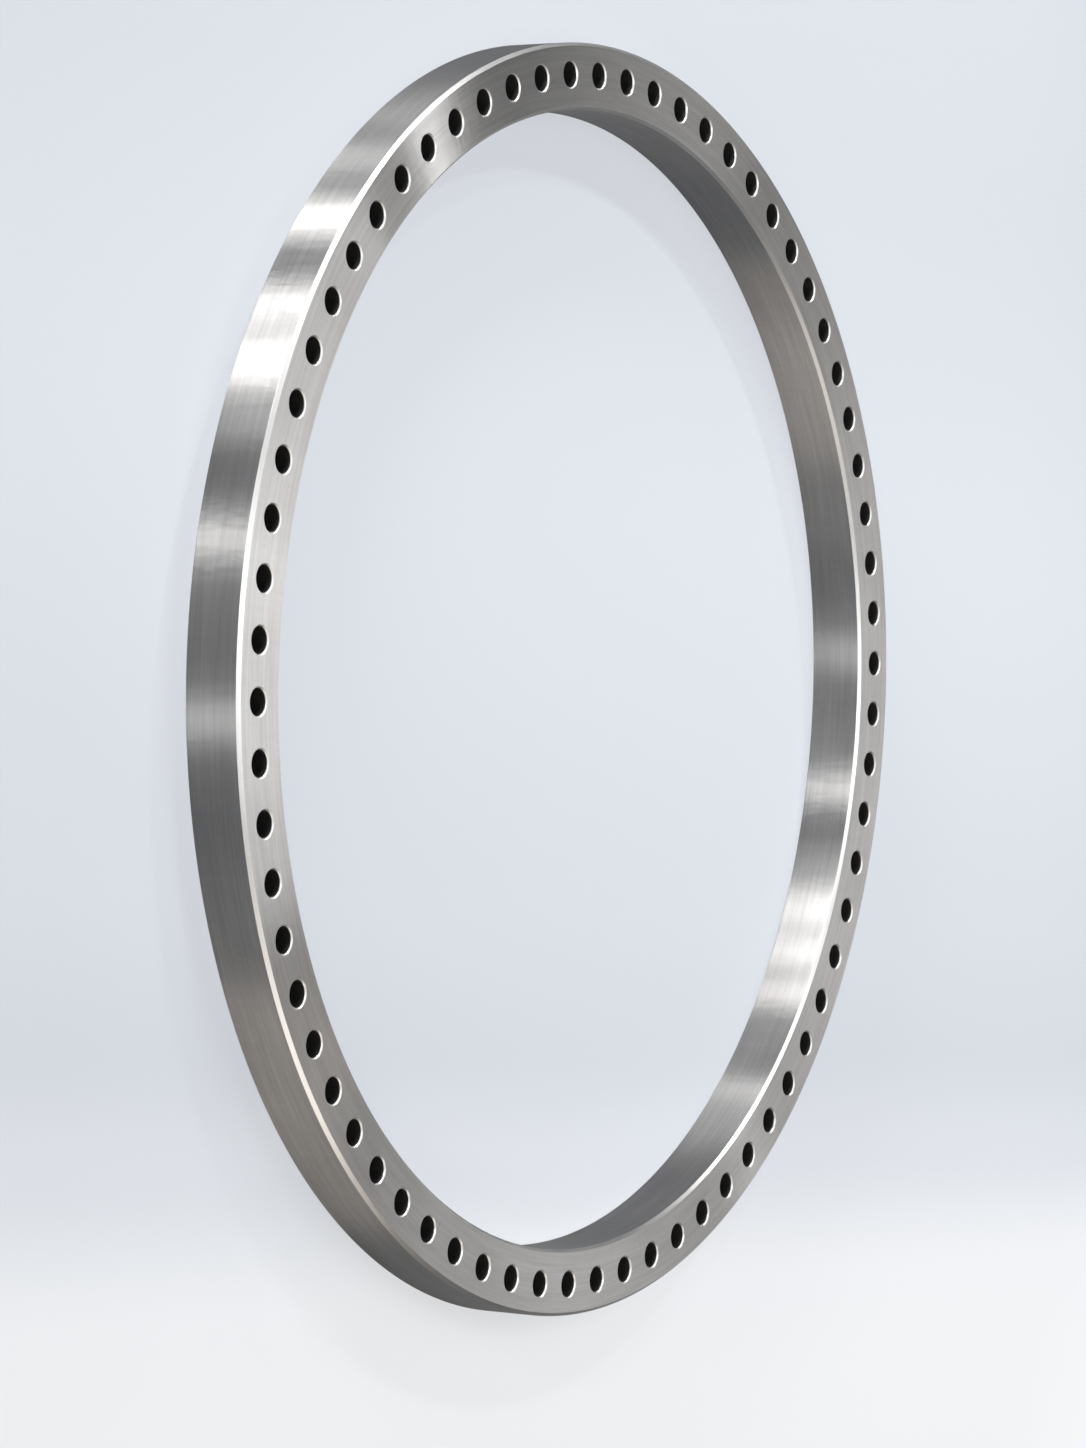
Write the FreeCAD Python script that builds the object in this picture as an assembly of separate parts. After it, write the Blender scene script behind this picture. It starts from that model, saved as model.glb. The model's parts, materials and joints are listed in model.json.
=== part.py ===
# Anchor flange: a flat steel ring, turned all over, with one circle of through holes for anchor bolts.
# Lengths are in millimetres. The ring lies on its back face, with its axis along +Z and its front face up.
# The origin is the centre of the back face, and +X passes midway between two holes.
import FreeCAD, Part
import math
import os

from FreeCAD import Vector

# Bolt circle
bolt_circle_diameter = 1825.0
bolt_hole_count = 68
# Clearance hole for an M36 anchor bolt
bolt_hole_diameter = 39.0

# Ring section, measured from the bolt circle out to the rim, in to the bore, and along the axis
bolt_circle_to_rim = 47.5
bolt_circle_to_bore = 52.5
ring_thickness = 88.0

# Edges, each cut at 45 degrees
front_rim_chamfer = 5.0
front_bore_chamfer = 4.5
back_edge_break = 1.0

# Sizes that follow from the ones above
bolt_circle_radius = bolt_circle_diameter / 2
rim_radius = bolt_circle_radius + bolt_circle_to_rim
bore_radius = bolt_circle_radius - bolt_circle_to_bore
bolt_hole_radius = bolt_hole_diameter / 2
bolt_hole_pitch = 360.0 / bolt_hole_count

ring_axis = Vector(0, 0, 1)


def revolved(outline):
    """Solid of revolution about +Z of a closed outline given as (radius, height) pairs."""
    points = [Vector(radius, 0, height) for radius, height in outline]
    profile = Part.Face(Part.makePolygon(points + points[:1]))
    return profile.revolve(Vector(0, 0, 0), ring_axis, 360)


def turned_ring():
    """The ring as it leaves the lathe, with its edges cut and no holes yet."""
    return revolved([
        (bore_radius + back_edge_break, 0),
        (rim_radius - back_edge_break, 0),
        (rim_radius, back_edge_break),
        (rim_radius, ring_thickness - front_rim_chamfer),
        (rim_radius - front_rim_chamfer, ring_thickness),
        (bore_radius + front_bore_chamfer, ring_thickness),
        (bore_radius, ring_thickness - front_bore_chamfer),
        (bore_radius, back_edge_break),
    ])


def bolt_hole_cutter():
    """What the drill takes out of the ring at one hole, from the back face to the front face."""
    return Part.makeCylinder(bolt_hole_radius, ring_thickness, Vector(0, 0, 0), ring_axis)


def bolt_hole_centre(index):
    """Centre of a hole on the bolt circle. The first hole lies half a pitch from +X."""
    angle = math.radians((index + 0.5) * bolt_hole_pitch)
    return Vector(bolt_circle_radius * math.cos(angle), bolt_circle_radius * math.sin(angle), 0)


def drilled_ring():
    """The finished flange: the turned ring with every bolt hole cut through it."""
    cutter = bolt_hole_cutter()
    cutters = [cutter.translated(bolt_hole_centre(index)) for index in range(bolt_hole_count)]
    return turned_ring().cut(cutters).Solids[0]


os.makedirs("parts", exist_ok=True)
flange_ring = drilled_ring()
flange_ring.exportStep("parts/flange_ring.step")
print("flange_ring valid:", flange_ring.isValid(), "volume in cubic metres:", flange_ring.Volume / 1e9)
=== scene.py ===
import json
import math

import bmesh
import bpy
from mathutils import Matrix, Vector


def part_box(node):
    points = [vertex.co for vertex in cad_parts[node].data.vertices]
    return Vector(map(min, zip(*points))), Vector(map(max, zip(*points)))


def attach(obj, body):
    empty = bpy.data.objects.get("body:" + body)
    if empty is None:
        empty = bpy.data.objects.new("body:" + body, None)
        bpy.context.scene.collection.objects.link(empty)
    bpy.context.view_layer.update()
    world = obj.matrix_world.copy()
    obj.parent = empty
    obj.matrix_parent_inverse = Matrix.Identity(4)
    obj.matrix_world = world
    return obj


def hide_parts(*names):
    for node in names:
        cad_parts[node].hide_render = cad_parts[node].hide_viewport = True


# The anchor flange as it looks: the ring with its steels, a pale studio, and the photograph's view of it.
# Lengths are in metres. The ring lies on its back face, with its axis along +Z.
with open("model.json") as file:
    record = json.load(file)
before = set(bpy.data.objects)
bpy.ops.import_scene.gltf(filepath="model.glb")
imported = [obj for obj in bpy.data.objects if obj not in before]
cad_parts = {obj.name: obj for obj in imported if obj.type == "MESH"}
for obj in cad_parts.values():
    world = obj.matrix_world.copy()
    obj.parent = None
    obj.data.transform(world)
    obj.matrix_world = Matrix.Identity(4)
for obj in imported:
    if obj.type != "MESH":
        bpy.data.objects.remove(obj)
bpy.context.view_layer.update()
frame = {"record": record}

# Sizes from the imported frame
millimetres_in_metre = 1000
_, ring_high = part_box("flange_ring")
mounts = {mount["name"]: mount for mount in frame["record"]["mounts"]}
bolt_dims = mounts["anchor_bolts"]["dims"]
ring_thickness = ring_high.z
rim_radius = ring_high.x
bolt_circle_radius = bolt_dims["pcd_mm"] / millimetres_in_metre / 2
bolt_hole_radius = bolt_dims["hole_r_mm"] / millimetres_in_metre
bolt_hole_count = bolt_dims["count"]
bore_radius = mounts["bore"]["dims"]["r_mm"] / millimetres_in_metre

# Sizes that the frame doesn't give, as on the solid
front_rim_chamfer = 0.005
front_bore_chamfer = 0.0045
back_edge_break = 0.001

# The chamfer round each end of a hole, which the solid leaves out
hole_mouth_chamfer = 0.002

# Each corner of the ring's section is an arc of this radius, in this many steps
corner_round = 0.0004
corner_steps = 3

# Each hole has its own sector of the flat faces: steps along each of its sides, rows of faces from the hole
# to the sector's outline, and a power above 1 that keeps the rows close together near the hole
side_steps = 12
patch_rings = 3
patch_spacing_power = 1.5

# Points closer than this are one point, and edges sharper than this, in degrees, stay sharp in the shading
weld_distance = 0.00001
sharp_edge_angle = 30

# How much more than small faces the large ones count in the shading, from 1 to 100
large_face_weight = 100

# Materials, by their place on the ring
TURNED, DRILLED, EDGE, MOUTH = range(4)


def rounded_corner(before, corner, after):
    """Points of a small arc that rounds one corner of the ring's section."""
    to_before = (before - corner).normalized()
    to_after = (after - corner).normalized()
    half_angle = to_before.angle(to_after) / 2
    centre = corner + (to_before + to_after).normalized() * (corner_round / math.sin(half_angle))
    start = corner + to_before * (corner_round / math.tan(half_angle))
    end = corner + to_after * (corner_round / math.tan(half_angle))
    points = []
    for step in range(corner_steps + 1):
        chord_point = start.lerp(end, step / corner_steps)
        points.append(centre + (chord_point - centre).normalized() * corner_round)
    return points


def section_corners():
    """The ring's section as (radius, height), from the front face's outer edge round to its inner edge."""
    return [Vector(point) for point in (
        (rim_radius - front_rim_chamfer, ring_thickness),
        (rim_radius, ring_thickness - front_rim_chamfer),
        (rim_radius, back_edge_break),
        (rim_radius - back_edge_break, 0),
        (bore_radius + back_edge_break, 0),
        (bore_radius, back_edge_break),
        (bore_radius, ring_thickness - front_bore_chamfer),
        (bore_radius + front_bore_chamfer, ring_thickness),
    )]


class RingMesh:
    """Collects the ring's vertices and faces, with one material number for each face."""

    def __init__(self):
        self.vertices = []
        self.faces = []
        self.materials = []

    def row(self, points):
        """Adds a row of points and gives their numbers."""
        start = len(self.vertices)
        self.vertices.extend(tuple(point) for point in points)
        return list(range(start, len(self.vertices)))

    def strip(self, first, second, material):
        """Quads between two closed rows of equal length."""
        count = len(first)
        for k in range(count):
            following = (k + 1) % count
            self.faces.append((first[k], first[following], second[following], second[k]))
            self.materials.append(material)

    def loft(self, rows, materials):
        """Strips from each row of points to the next, with one material for each strip."""
        numbers = [self.row(points) for points in rows]
        for first, second, material in zip(numbers, numbers[1:], materials):
            self.strip(first, second, material)


def polar(radius, angle, height):
    """The point at a radius and an angle round the axis."""
    return radius * math.cos(angle), radius * math.sin(angle), height


def sweep_section(mesh, points, materials):
    """Turns an open run of section points once round the axis."""
    around = bolt_hole_count * side_steps
    turns = [2 * math.pi * k / around for k in range(around)]
    mesh.loft([[polar(radius, turn, height) for turn in turns] for radius, height in points], materials)


def sector_outline(index, inner_radius, outer_radius):
    """Closed outline of one hole's sector as (radius, angle), counter-clockwise, corner to corner."""
    pitch = 2 * math.pi / bolt_hole_count
    start, end = index * pitch, (index + 1) * pitch
    outline = []
    for k in range(side_steps):
        outline.append((inner_radius + (outer_radius - inner_radius) * k / side_steps, start))
    for k in range(side_steps):
        outline.append((outer_radius, start + (end - start) * k / side_steps))
    for k in range(side_steps):
        outline.append((outer_radius + (inner_radius - outer_radius) * k / side_steps, end))
    for k in range(side_steps):
        outline.append((inner_radius, end + (start - end) * k / side_steps))
    return outline


def hole_circle(index, radius, height):
    """Points of a circle round one hole, one for each point of its sector's outline."""
    pitch = 2 * math.pi / bolt_hole_count
    middle = (index + 0.5) * pitch
    centre = Vector(polar(bolt_circle_radius, middle, height))
    count = 4 * side_steps
    towards_first_corner = middle + math.pi + math.pi / 4
    points = []
    for k in range(count):
        angle = towards_first_corner + 2 * math.pi * k / count
        points.append(centre + Vector((radius * math.cos(angle), radius * math.sin(angle), 0)))
    return points


def face_patch(mesh, index, inner_radius, outer_radius, height):
    """One sector of a flat face, with its hole."""
    outline = [Vector(polar(radius, angle, height)) for radius, angle in
               sector_outline(index, inner_radius, outer_radius)]
    mouth = hole_circle(index, bolt_hole_radius + hole_mouth_chamfer, height)
    shares = [(step / patch_rings) ** patch_spacing_power for step in range(patch_rings + 1)]
    rows = [[near.lerp(far, share) for near, far in zip(mouth, outline)] for share in shares]
    mesh.loft(rows, [TURNED] * patch_rings)


def hole_wall(mesh, index):
    """The mouth chamfers and the drilled wall of one hole."""
    mouth_radius = bolt_hole_radius + hole_mouth_chamfer
    mesh.loft([
        hole_circle(index, mouth_radius, ring_thickness),
        hole_circle(index, bolt_hole_radius, ring_thickness - hole_mouth_chamfer),
        hole_circle(index, bolt_hole_radius, hole_mouth_chamfer),
        hole_circle(index, mouth_radius, 0),
    ], [MOUTH, DRILLED, MOUTH])


def ring_mesh():
    """The whole surface: the outer and inner sides, swept round, and the two flat faces with their holes."""
    corners = section_corners()
    count = len(corners)
    arcs = []
    for k, corner in enumerate(corners):
        arcs.append(rounded_corner(corners[k - 1], corner, corners[(k + 1) % count]))
    mesh = RingMesh()
    outer_side = arcs[0] + arcs[1] + arcs[2] + arcs[3]
    inner_side = arcs[4] + arcs[5] + arcs[6] + arcs[7]
    corner_faces = [EDGE] * corner_steps
    side_faces = corner_faces + [EDGE] + corner_faces + [TURNED] + corner_faces + [EDGE] + corner_faces
    sweep_section(mesh, outer_side, side_faces)
    sweep_section(mesh, inner_side, side_faces)
    for index in range(bolt_hole_count):
        face_patch(mesh, index, inner_side[-1].x, outer_side[0].x, ring_thickness)
        face_patch(mesh, index, inner_side[0].x, outer_side[-1].x, 0)
        hole_wall(mesh, index)
    return mesh


def build_ring(materials):
    """The ring as one object, with its points joined and its faces turned outwards."""
    collected = ring_mesh()
    data = bpy.data.meshes.new("anchor_flange")
    data.from_pydata(collected.vertices, [], collected.faces)
    for material in materials:
        data.materials.append(material)
    data.polygons.foreach_set("material_index", collected.materials)
    joined = bmesh.new()
    joined.from_mesh(data)
    bmesh.ops.remove_doubles(joined, verts=joined.verts, dist=weld_distance)
    bmesh.ops.recalc_face_normals(joined, faces=joined.faces)
    joined.to_mesh(data)
    joined.free()
    data.shade_smooth()
    data.set_sharp_from_angle(angle=math.radians(sharp_edge_angle))
    ring = bpy.data.objects.new("anchor_flange", data)
    bpy.context.scene.collection.objects.link(ring)
    weighted = ring.modifiers.new("flat faces stay flat", "WEIGHTED_NORMAL")
    weighted.keep_sharp = True
    weighted.weight = large_face_weight
    return ring


# Steel: the darkest and lightest colour of each finish; those of the holes, chamfers and edges also hold
# painted shade and painted highlights
turned_dark = (0.45, 0.44, 0.43)
turned_light = (0.67, 0.66, 0.65)
# Hole walls: partly the darker drilled finish and partly painted shade inside the holes
drilled_and_shade_dark = (0.13, 0.127, 0.124)
drilled_and_shade_light = (0.23, 0.226, 0.222)
# Chamfers and edge breaks: partly a bright cut and partly a painted highlight along the edges
edge_and_highlight_dark = (0.78, 0.77, 0.76)
edge_and_highlight_light = (0.86, 0.85, 0.84)
# Hole mouths: partly a bright cut and partly a painted highlight round each hole
mouth_and_highlight_dark = (0.74, 0.73, 0.72)
mouth_and_highlight_light = (0.82, 0.81, 0.80)

# As a share of a whole turn: it lays the highlights across the marks
quarter_turn = 0.25


def node(tree, kind, **settings):
    """A new node with these settings."""
    made = tree.nodes.new(kind)
    for name, value in settings.items():
        setattr(made, name, value)
    return made


def math_node(tree, operation, first, second=None):
    """The result of one step of arithmetic on numbers or other nodes' outputs."""
    made = node(tree, "ShaderNodeMath", operation=operation)
    for socket, value in zip(made.inputs, (first, second)):
        if value is None:
            continue
        if isinstance(value, (int, float)):
            socket.default_value = value
        else:
            tree.links.new(value, socket)
    return made.outputs[0]


def new_material(name):
    """A new material, with its nodes and its shader."""
    material = bpy.data.materials.new(name)
    material.use_nodes = True
    tree = material.node_tree
    shader = tree.nodes["Principled BSDF"]
    return material, tree, shader


def axis_coordinates(tree):
    """The place in the object's own coordinates, and its radius, height and angle's cosine and sine."""
    place = node(tree, "ShaderNodeTexCoord").outputs["Object"]
    split = node(tree, "ShaderNodeSeparateXYZ")
    tree.links.new(place, split.inputs[0])
    x, y, z = split.outputs
    radius = math_node(tree, "SQRT", math_node(tree, "ADD", math_node(tree, "MULTIPLY", x, x),
                                               math_node(tree, "MULTIPLY", y, y)))
    cosine = math_node(tree, "DIVIDE", x, radius)
    sine = math_node(tree, "DIVIDE", y, radius)
    return place, radius, z, cosine, sine


def lay_noise(tree, across, around, detail):
    """Noise drawn out round the axis: cycles a metre across its marks, and changes along them on a turn."""
    _, radius, height, cosine, sine = axis_coordinates(tree)
    joined = node(tree, "ShaderNodeCombineXYZ")
    for socket, value, scale in zip(joined.inputs, (radius, height, cosine), (across, across, around)):
        tree.links.new(math_node(tree, "MULTIPLY", value, scale), socket)
    noise = node(tree, "ShaderNodeTexNoise", noise_dimensions="4D")
    noise.inputs["Scale"].default_value = 1.0
    noise.inputs["Detail"].default_value = detail
    tree.links.new(joined.outputs[0], noise.inputs["Vector"])
    tree.links.new(math_node(tree, "MULTIPLY", sine, around), noise.inputs["W"])
    return noise.outputs["Fac"]


def ranged(tree, value, low, high, to_low, to_high):
    """Maps the range from low to high onto the one from to_low to to_high, and holds its ends beyond."""
    made = node(tree, "ShaderNodeMapRange")
    for name, number in (("From Min", low), ("From Max", high), ("To Min", to_low), ("To Max", to_high)):
        made.inputs[name].default_value = number
    tree.links.new(value, made.inputs["Value"])
    return made.outputs["Result"]


def spread(tree, noise, low, high):
    """Maps noise, which lies around a half, onto the range from low to high."""
    noise_low = 0.3
    noise_high = 0.7
    return ranged(tree, noise, noise_low, noise_high, low, high)


def tinted(tree, value, dark, light):
    """A colour between dark and light."""
    mix = node(tree, "ShaderNodeMix", data_type="RGBA")
    mix.inputs["A"].default_value = (*dark, 1)
    mix.inputs["B"].default_value = (*light, 1)
    tree.links.new(value, mix.inputs["Factor"])
    return mix.outputs["Result"]


def turn_marks_round_axis(tree, shader):
    """Draws highlights out across the turning marks, which run round the axis."""
    tangent = node(tree, "ShaderNodeTangent", direction_type="RADIAL", axis="Z")
    tree.links.new(tangent.outputs[0], shader.inputs["Tangent"])
    shader.inputs["Anisotropic Rotation"].default_value = quarter_turn


def bump(tree, height, strength, distance, normal=None):
    """A normal tilted by the slope of height, where a height of 1 stands for distance in metres."""
    made = node(tree, "ShaderNodeBump")
    made.inputs["Strength"].default_value = strength
    made.inputs["Distance"].default_value = distance
    tree.links.new(height, made.inputs["Height"])
    if normal is not None:
        tree.links.new(normal, made.inputs["Normal"])
    return made.outputs[0]


def cloud(tree, scale, detail, distortion=0.0):
    """Plain noise in the ring's own coordinates, in cycles a metre."""
    noise = node(tree, "ShaderNodeTexNoise")
    noise.inputs["Scale"].default_value = scale
    noise.inputs["Detail"].default_value = detail
    noise.inputs["Distortion"].default_value = distortion
    tree.links.new(axis_coordinates(tree)[0], noise.inputs["Vector"])
    return noise.outputs["Fac"]


def turned_steel():
    """Faces, rim and bore: fine marks round the axis, faint cross scratches, smudges and slight waves."""
    material, tree, shader = new_material("turned_steel")
    fine = lay_noise(tree, across=520, around=10, detail=2)
    lines = lay_noise(tree, across=220, around=6, detail=4)
    broad = lay_noise(tree, across=60, around=5, detail=4)
    scratches = lay_noise(tree, across=12, around=180, detail=3)
    strokes = lay_noise(tree, across=45, around=100, detail=3)
    swirls = cloud(tree, scale=30, detail=3, distortion=0.8)
    smudge = cloud(tree, scale=7, detail=5)
    tone = math_node(tree, "ADD", spread(tree, lines, 0.0, 0.4), spread(tree, broad, 0.0, 0.25))
    tone = math_node(tree, "ADD", tone, spread(tree, fine, 0.0, 0.25))
    tone = math_node(tree, "ADD", tone, spread(tree, scratches, 0.0, 0.1))
    tree.links.new(tinted(tree, tone, turned_dark, turned_light), shader.inputs["Base Color"])
    roughness = math_node(tree, "ADD", spread(tree, smudge, 0.285, 0.315),
                          spread(tree, scratches, 0.0, 0.02))
    tree.links.new(roughness, shader.inputs["Roughness"])
    waviness = bump(tree, math_node(tree, "ADD", swirls, strokes), strength=1.0, distance=0.00012)
    grooves = bump(tree, lines, strength=1.0, distance=0.00015, normal=waviness)
    turning = bump(tree, fine, strength=0.35, distance=0.00008, normal=grooves)
    tree.links.new(turning, shader.inputs["Normal"])
    turn_marks_round_axis(tree, shader)
    shader.inputs["Metallic"].default_value = 1.0
    shader.inputs["Anisotropic"].default_value = 1.0
    return material


def drilled_and_shaded_steel():
    """The wall of a bolt hole: rougher than the turned faces, with faint marks, and darker, partly as
    painted shade inside the hole.
    """
    material, tree, shader = new_material("drilled_and_shaded_steel")
    marks = lay_noise(tree, across=500, around=4, detail=2)
    tree.links.new(spread(tree, marks, 0.40, 0.48), shader.inputs["Roughness"])
    tree.links.new(tinted(tree, marks, drilled_and_shade_dark, drilled_and_shade_light), shader.inputs["Base Color"])
    tree.links.new(bump(tree, marks, strength=0.1, distance=0.0005), shader.inputs["Normal"])
    shader.inputs["Metallic"].default_value = 1.0
    return material


def edge_and_highlight_steel():
    """Chamfers and edge breaks: a brighter cut, partly a painted highlight along the edges, with a broader
    sheen.
    """
    material, tree, shader = new_material("edge_and_highlight_steel")
    fine = lay_noise(tree, across=1200, around=9, detail=2)
    tree.links.new(tinted(tree, fine, edge_and_highlight_dark, edge_and_highlight_light), shader.inputs["Base Color"])
    tree.links.new(spread(tree, fine, 0.36, 0.44), shader.inputs["Roughness"])
    turn_marks_round_axis(tree, shader)
    shader.inputs["Metallic"].default_value = 1.0
    shader.inputs["Anisotropic"].default_value = 0.5
    return material


def mouth_and_highlight_steel():
    """The small chamfer round each hole: bright cut steel, partly a painted highlight round the hole's
    mouth.
    """
    material, tree, shader = new_material("mouth_and_highlight_steel")
    marks = cloud(tree, scale=300, detail=2)
    tree.links.new(tinted(tree, marks, mouth_and_highlight_dark, mouth_and_highlight_light), shader.inputs["Base Color"])
    tree.links.new(spread(tree, marks, 0.42, 0.50), shader.inputs["Roughness"])
    shader.inputs["Metallic"].default_value = 1.0
    return material


ring = build_ring([turned_steel(), drilled_and_shaded_steel(), edge_and_highlight_steel(), mouth_and_highlight_steel()])
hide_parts("flange_ring")
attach(ring, "root")


# Studio: the backdrop's colour, and the floor's painted shading from the top of the picture to the bottom:
# darker at the top, a darker band below the middle, lightest at the bottom
backdrop_colour = (0.80, 0.83, 0.88)
painted_floor_shading = (
    (0.08, (0.73, 0.763, 0.82)),
    (0.39, (0.79, 0.826, 0.885)),
    (0.64, (0.76, 0.797, 0.856)),
    (0.74, (0.735, 0.773, 0.83)),
    (0.81, (0.80, 0.835, 0.89)),
    (0.90, (0.95, 0.97, 1.0)),
    (0.97, (0.965, 0.98, 1.0)),
)

# The part of the floor in the picture, in metres: half its length down the picture, and its left and right
#  ends along Y, with the share of its painted shade that the floor keeps at each, darker on the left
picture_half_height = 1.2
picture_left = -1.25
picture_right = 1.7
left_painted_shade = 0.87
right_painted_shade = 0.99

# A level line across the picture runs this far along +X for each metre along +Y
level_line_slope = 0.141

# Far from the ring the painted shading fades into the backdrop's colour, between the first two radii, and
# the glow
#  takes over from the lamps' light, between the other two
shade_fade_start = 2.3
shade_fade_end = 6.0
glow_fade_start = 2.1
glow_fade_end = 2.7

# How much of the floor's look is glow, to the eye and to reflections, and how dim it is to reflections
seen_glow_share = 0.62
mirrored_glow_share = 0.8
mirrored_glow_strength = 0.12

# The world's own light, apart from what the camera sees
world_light_colour = (0.068, 0.069, 0.071)


def ray_kinds(tree):
    """Two outputs: 1 for a ray straight from the camera, and 1 for a reflected ray."""
    path = node(tree, "ShaderNodeLightPath")
    return path.outputs["Is Camera Ray"], path.outputs["Is Glossy Ray"]


def shade_ramp(tree, value, shades):
    """Smooth steps from one pale shade to the next."""
    ramp = node(tree, "ShaderNodeValToRGB")
    ramp.color_ramp.interpolation = "EASE"
    stops = ramp.color_ramp.elements
    for position, colour in shades:
        stops.new(position).color = (*colour, 1)
    # A new ramp has a stop of its own at each end
    stops.remove(stops[0])
    stops.remove(stops[len(stops) - 1])
    tree.links.new(value, ramp.inputs["Fac"])
    return ramp.outputs["Color"]


def floor_colour(tree):
    """The floor's painted shading round the ring, and the backdrop's colour farther out. Also gives the
    radius.
    """
    place, radius, *_ = axis_coordinates(tree)
    split = node(tree, "ShaderNodeSeparateXYZ")
    tree.links.new(place, split.inputs[0])
    x, y, _ = split.outputs
    down_the_picture = math_node(tree, "SUBTRACT", x, math_node(tree, "MULTIPLY", y, level_line_slope))
    share_down = ranged(tree, down_the_picture, -picture_half_height, picture_half_height, 0, 1)
    painted_floor_tone = node(tree, "ShaderNodeVectorMath", operation="SCALE")
    tree.links.new(shade_ramp(tree, share_down, painted_floor_shading), painted_floor_tone.inputs[0])
    painted_side_shade = ranged(tree, y, picture_left, picture_right, left_painted_shade, right_painted_shade)
    tree.links.new(painted_side_shade, painted_floor_tone.inputs["Scale"])
    blend = node(tree, "ShaderNodeMix", data_type="RGBA")
    tree.links.new(ranged(tree, radius, shade_fade_start, shade_fade_end, 0, 1), blend.inputs["Factor"])
    tree.links.new(painted_floor_tone.outputs[0], blend.inputs["A"])
    blend.inputs["B"].default_value = (*backdrop_colour, 1)
    return blend.outputs["Result"], radius


def pale_floor():
    """A pale floor. Its glow is for the eye and, dimmer, for reflections. Its diffuse part takes shadows."""
    material = bpy.data.materials.new("studio_floor")
    material.use_nodes = True
    tree = material.node_tree
    tree.nodes.clear()
    output = node(tree, "ShaderNodeOutputMaterial")
    colour, radius = floor_colour(tree)
    camera_ray, glossy_ray = ray_kinds(tree)
    diffuse = node(tree, "ShaderNodeBsdfDiffuse")
    tree.links.new(colour, diffuse.inputs["Color"])
    glow = node(tree, "ShaderNodeEmission")
    tree.links.new(colour, glow.inputs["Color"])
    mirrored_strength = math_node(tree, "MULTIPLY", glossy_ray, mirrored_glow_strength)
    tree.links.new(math_node(tree, "ADD", camera_ray, mirrored_strength), glow.inputs["Strength"])
    glow_share = ranged(tree, radius, glow_fade_start, glow_fade_end, seen_glow_share, 1)
    mix = node(tree, "ShaderNodeMixShader")
    tree.links.new(math_node(tree, "ADD", math_node(tree, "MULTIPLY", camera_ray, glow_share),
                             math_node(tree, "MULTIPLY", glossy_ray, mirrored_glow_share)), mix.inputs[0])
    tree.links.new(diffuse.outputs[0], mix.inputs[1])
    tree.links.new(glow.outputs[0], mix.inputs[2])
    tree.links.new(mix.outputs[0], output.inputs["Surface"])
    return material


def build_floor():
    """A square of floor at the height of the ring's back face."""
    data = bpy.data.meshes.new("floor")
    reach = 30.0
    data.from_pydata([(-reach, -reach, 0), (reach, -reach, 0), (reach, reach, 0), (-reach, reach, 0)],
                     [], [(0, 1, 2, 3)])
    data.materials.append(pale_floor())
    floor = bpy.data.objects.new("floor", data)
    bpy.context.scene.collection.objects.link(floor)


def build_world():
    """A dim world for light and reflections, which the camera sees in the backdrop's colour."""
    world = bpy.data.worlds.new("studio")
    bpy.context.scene.world = world
    world.use_nodes = True
    tree = world.node_tree
    background = tree.nodes["Background"]
    camera_ray, _ = ray_kinds(tree)
    mix = node(tree, "ShaderNodeMix", data_type="RGBA")
    mix.inputs["A"].default_value = (*world_light_colour, 1)
    mix.inputs["B"].default_value = (*backdrop_colour, 1)
    tree.links.new(camera_ray, mix.inputs["Factor"])
    tree.links.new(mix.outputs["Result"], background.inputs["Color"])


def softbox(name, azimuth, elevation, distance, width, height, power, colour):
    """An area light, unseen by the camera, that faces the centre of the ring's back face."""
    data = bpy.data.lights.new(name, "AREA")
    data.shape = "RECTANGLE"
    data.size = width
    data.size_y = height
    data.energy = power
    data.color = colour
    light = bpy.data.objects.new(name, data)
    bpy.context.scene.collection.objects.link(light)
    turn = math.radians(azimuth)
    rise = math.radians(elevation)
    direction = Vector((math.cos(rise) * math.cos(turn), math.cos(rise) * math.sin(turn), math.sin(rise)))
    place = direction * distance
    light.location = place
    light.rotation_euler = place.to_track_quat("Z", "Y").to_euler()
    light.visible_camera = False


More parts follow.
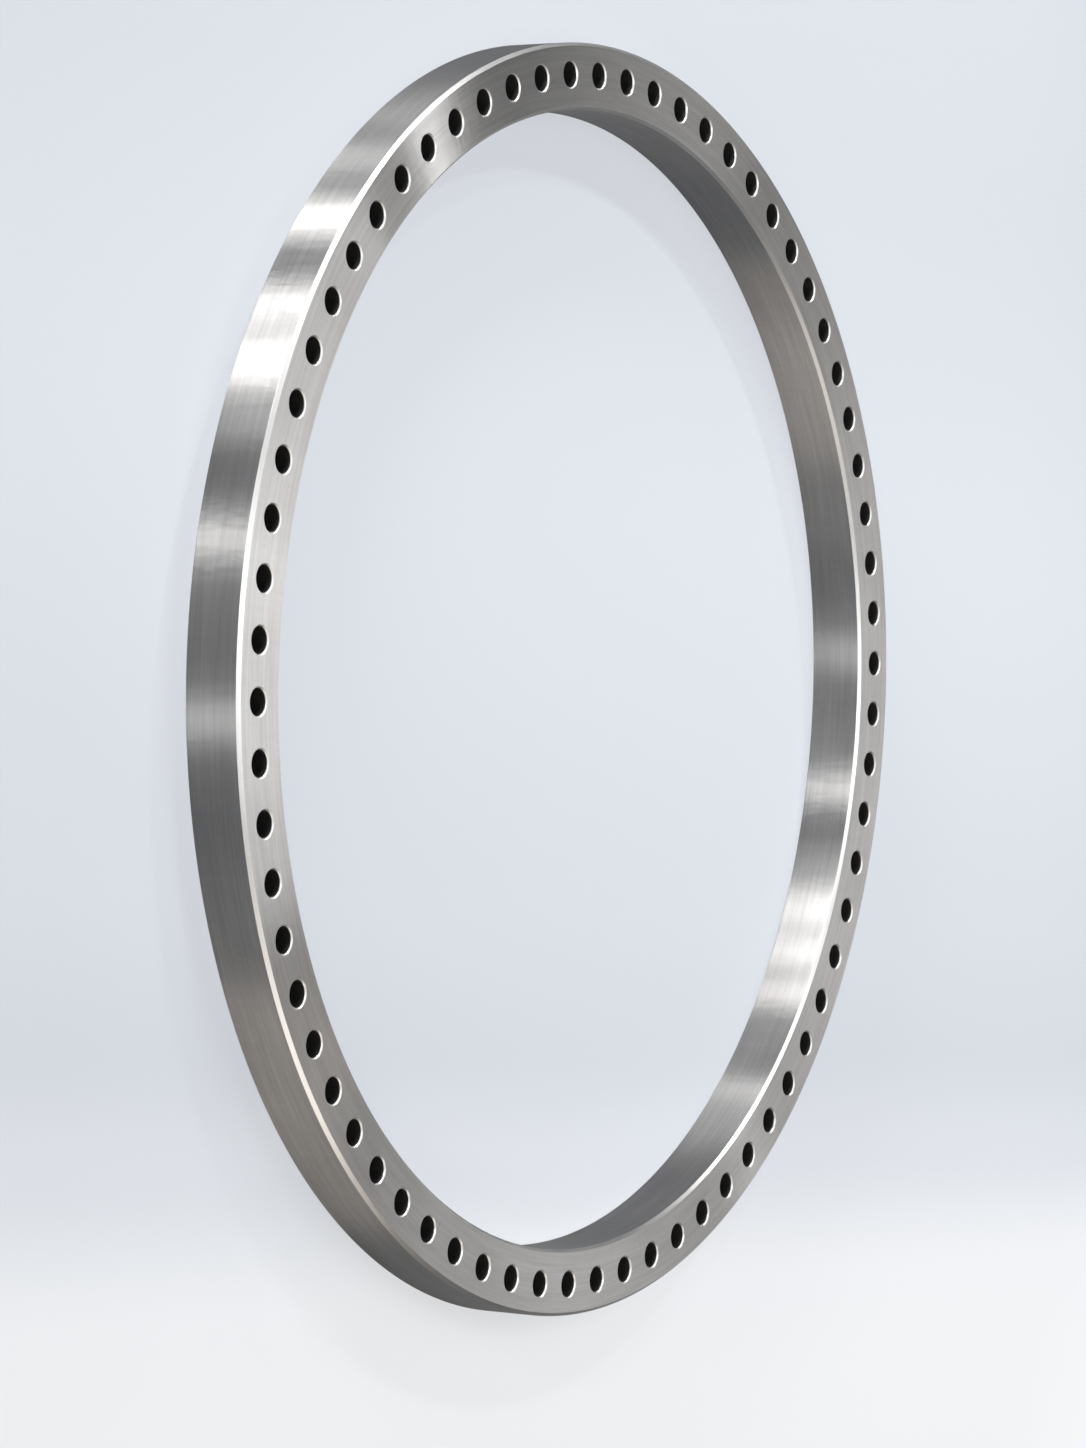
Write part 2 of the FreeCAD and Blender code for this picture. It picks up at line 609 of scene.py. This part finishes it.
# Softboxes: name, azimuth counter-clockwise from +X and elevation in degrees, distance, width and height in
# metres, power in watts, colour. The low narrow ones give the bright bands on the rim and the bore, the
# streaks give those on the flat face, and the rest give its even light
white = (1.0, 1.0, 1.0)
half_warm = (1.0, 0.95, 0.89)
warm = (1.0, 0.88, 0.76)
softboxes = (
    ("left_thin", 166, 8, 6.0, 0.25, 1.5, 11, white),
    ("left_line", 174.2, 8, 10.4, 0.43, 2.6, 130, white),
    ("left_band", 194.5, 8, 3.56, 0.22, 0.9, 33, white),
    ("key_left", 207, 8, 6.0, 0.45, 1.5, 90, white),
    ("key", 217, 8, 6.0, 0.8, 1.5, 118, white),
    ("key_right", 227, 8, 6.0, 0.5, 1.5, 16, white),
    ("front_line", 244, 8, 15.4, 0.64, 3.9, 310, white),
    ("front_thin", 272, 8, 6.0, 0.4, 1.5, 22, white),
    ("right_fill", 338, 8, 6.0, 5.5, 1.5, 56, warm),
    ("front_mid", 250, 34, 6.0, 2.0, 1.8, 7, white),
    ("right_mid", 324, 34, 6.0, 5.5, 1.8, 64, half_warm),
    ("back_mid", 76, 34, 6.0, 4.0, 1.8, 21, white),
    ("streak_high", 140, 34, 6.0, 0.25, 0.8, 3, white),
    ("streak", 149.5, 34, 6.0, 0.15, 0.3, 84, white),
    ("streak_low", 177, 34, 6.0, 0.15, 0.3, 38, white),
    ("high_left", 135, 60, 4.5, 2.4, 1.4, 18, white),
    ("high_front", 225, 60, 4.5, 2.4, 1.4, 12, white),
    ("high_line", 243, 60, 4.5, 0.5, 1.4, 10, white),
    ("high_right", 265, 60, 4.5, 2.4, 1.4, 42, white),
    ("high_far", 350, 50, 4.5, 2.4, 1.4, 8, warm),
    ("high_back", 85, 72, 4.5, 2.4, 1.4, 46, white),
)

build_floor()
build_world()
for values in softboxes:
    softbox(*values)


# Camera
def build_camera():
    """The photograph's view of the ring, fitted to its circles and holes and rolled as the photograph is."""
    sensor_width = 36.0
    photo_long_side_pixels = 1448
    focal_length_pixels = 5045
    data = bpy.data.cameras.new("photo_camera")
    data.sensor_width = sensor_width
    data.lens = focal_length_pixels * sensor_width / photo_long_side_pixels
    camera = bpy.data.objects.new("photo_camera", data)
    location = Vector((-0.593, -6.569, 3.954))
    aim = Vector((0.0516, -0.1644, ring_thickness))
    picture_up = Vector((-0.9961, 0.0850, -0.0253))
    back = (location - aim).normalized()
    right = picture_up.cross(back).normalized()
    up = back.cross(right)
    turn = Matrix((right, up, back)).transposed()
    camera.matrix_world = Matrix.Translation(location) @ turn.to_4x4()
    bpy.context.scene.collection.objects.link(camera)
    bpy.context.scene.camera = camera


build_camera()
bpy.context.scene.view_settings.view_transform = "Standard"
